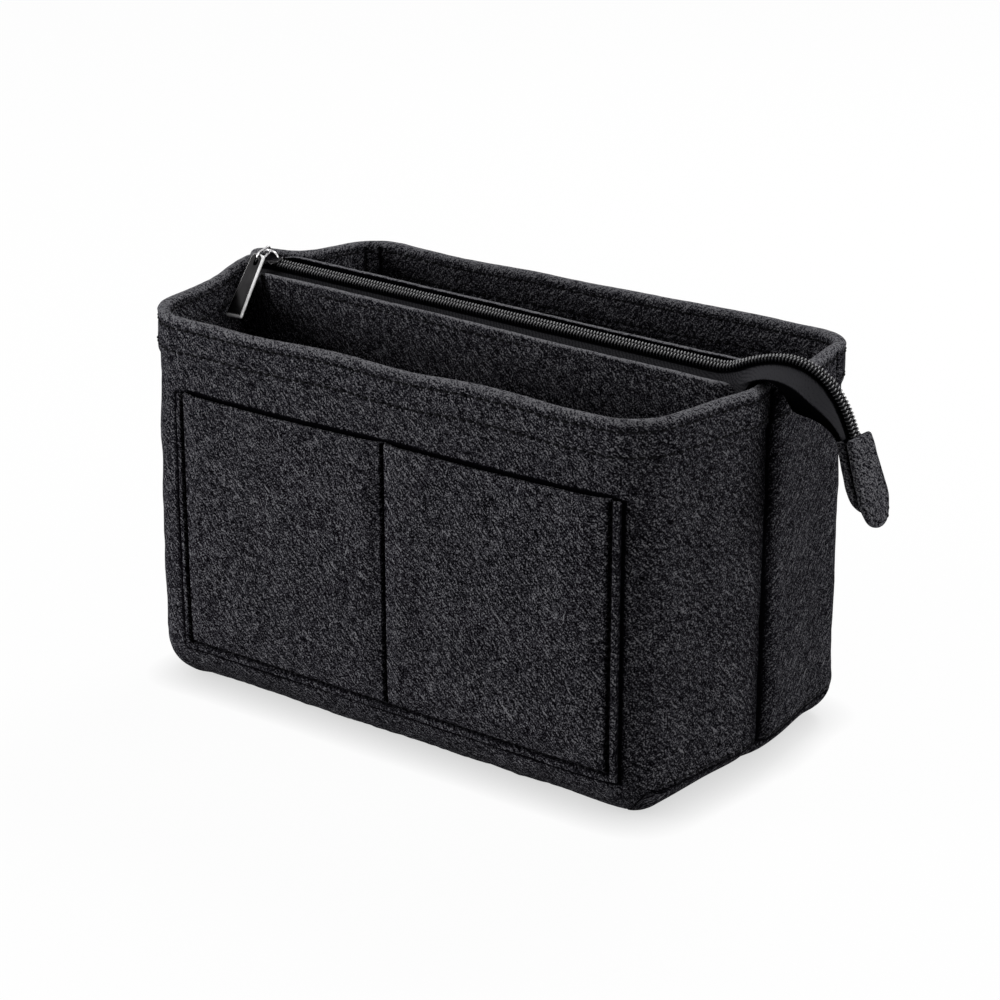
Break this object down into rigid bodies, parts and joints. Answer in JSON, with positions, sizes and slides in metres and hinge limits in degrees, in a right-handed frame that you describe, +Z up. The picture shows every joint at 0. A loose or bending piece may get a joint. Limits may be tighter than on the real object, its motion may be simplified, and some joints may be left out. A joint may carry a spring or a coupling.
{
  "type": "purse organizer insert",
  "caption": "Open felt purse organizer insert with a turned hem, flat front pockets, a zipped pouch down the middle and a zip tail with a felt tab over one end.",
  "frame": {"origin": "middle of the base, on the surface that the organizer stands on", "axes": "+X right along the length, towards the zip tail; +Y to the rear, away from the front pockets; +Z up"},
  "size_m": [0.3155, 0.1532, 0.1742],
  "materials": {
    "felt": "charcoal heathered felt",
    "tape": "black woven zip tape",
    "coil": "black nylon, satin",
    "gunmetal": "dark polished gunmetal",
    "bright_metal": "polished",
    "thread": "black sewing thread"
  },
  "bodies": {
    "organizer": {"front_wrap": "felt", "rear_wrap": "felt", "base_panel": "felt", "front_pocket_panel": "felt", "pouch_front_wall": "felt", "pouch_rear_wall": "felt", "zip_tape_front": "tape", "zip_tape_rear": "tape", "zip_coil_front": "coil", "zip_coil_rear": "coil", "rim_thread_front": "thread", "rim_thread_rear": "thread", "hem_thread_front": "thread", "hem_thread_rear": "thread", "pocket_edge_thread": "thread", "pocket_middle_thread": "thread", "base_thread_left": "thread", "base_thread_right": "thread", "end_seam_thread_left": "thread", "end_seam_thread_right": "thread", "zip_thread_front": "thread", "zip_thread_rear": "thread", "pouch_foot_thread": "thread"},
    "slider": {"slider_body": "gunmetal", "slider_crown": "bright_metal"},
    "link": {"pull_link": "bright_metal"},
    "pull": {"pull_tab": "gunmetal"},
    "tail": {"tail_tape_front": "tape", "tail_tape_rear": "tape", "tail_coil_front": "coil", "tail_coil_rear": "coil", "tab_outer_leaf": "felt", "tab_inner_leaf": "felt", "tab_thread": "thread"}
  },
  "joints": [
    {"name": "slider_slide", "type": "slide", "parent": "organizer", "child": "slider", "axis": [0.9998, 0, -0.0189], "range_m": [0, 0.215]},
    {"name": "link_swing", "type": "hinge", "parent": "slider", "child": "link", "pos_m": [-0.1184, -0.00138, 0.17239], "axis": [-1, 0, 0], "range_deg": [0, 190]},
    {"name": "pull_swing", "type": "hinge", "parent": "link", "child": "pull", "pos_m": [-0.1184, -0.00801, 0.16971], "axis": [-1, 0, 0], "range_deg": [0, 64]},
    {"name": "tail_lift", "type": "hinge", "parent": "organizer", "child": "tail", "pos_m": [0.1119, 0, 0.1643], "axis": [0, -1, 0], "range_deg": [0, 80]}
  ]
}
